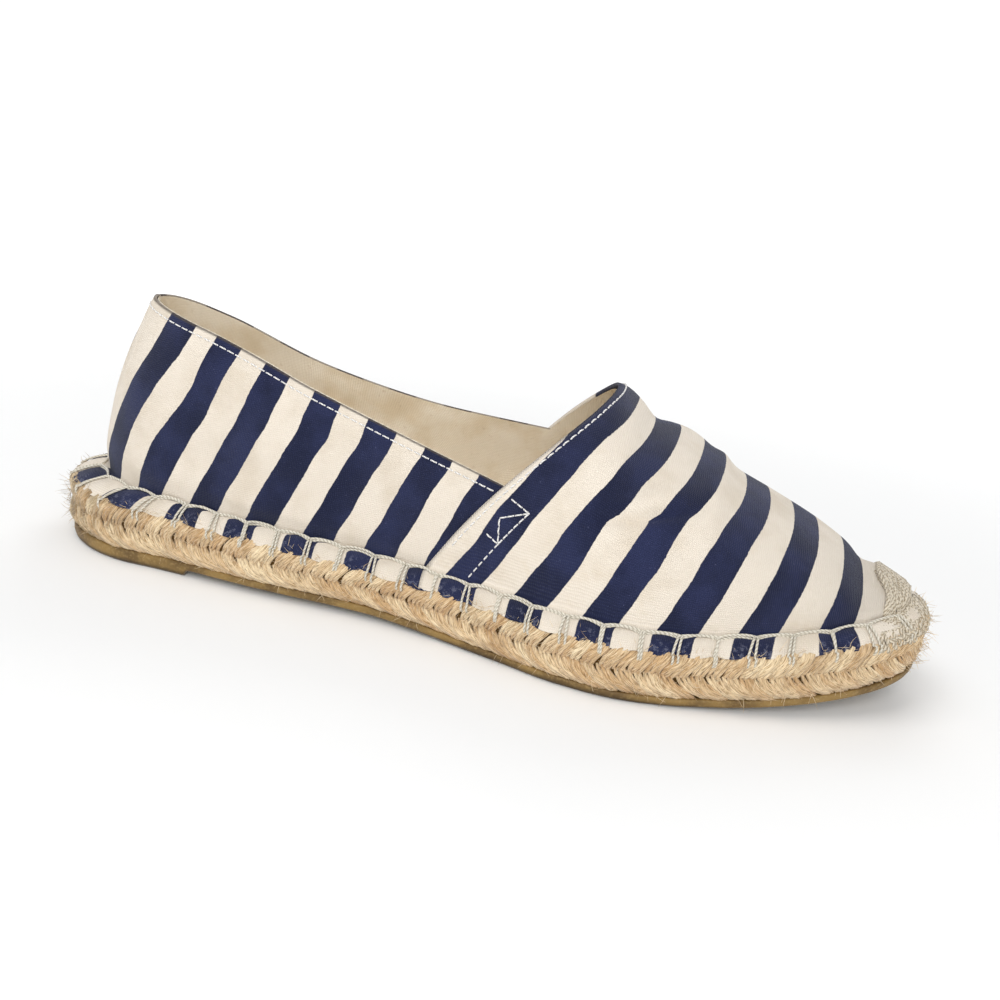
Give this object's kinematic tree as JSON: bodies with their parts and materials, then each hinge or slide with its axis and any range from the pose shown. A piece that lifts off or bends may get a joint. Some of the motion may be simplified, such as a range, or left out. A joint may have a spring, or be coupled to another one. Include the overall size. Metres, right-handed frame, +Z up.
{
  "type": "espadrille",
  "caption": "Left slip-on espadrille: hollow striped canvas upper with open throat and collar, darned toe guard, plaited jute sole, insole and rubber outsole with a heel pad.",
  "frame": {"origin": "Middle of the shoe's box on the floor plane, under the arch.", "axes": "+X points to the toe, +Y to the outer side of the left foot, +Z up."},
  "size_m": [0.256, 0.0968, 0.0749],
  "materials": {
    "gum_rubber": "moulded crepe rubber, tan brown, matt, grey where it is walked on",
    "jute_plait": "plaited jute rope, fuzzy, golden straw colour, matt",
    "insole_canvas": "plain woven cotton over jute, pale beige, matt",
    "striped_canvas": "plain woven cotton canvas with printed navy and cream stripes, matt",
    "cotton_thread": "thick twisted cotton thread, unbleached cream, matt"
  },
  "bodies": {
    "root": {"outsole": "gum_rubber", "jute_sole": "jute_plait", "insole": "insole_canvas", "upper": "striped_canvas", "toe_cap": "cotton_thread"}
  },
  "joints": []
}
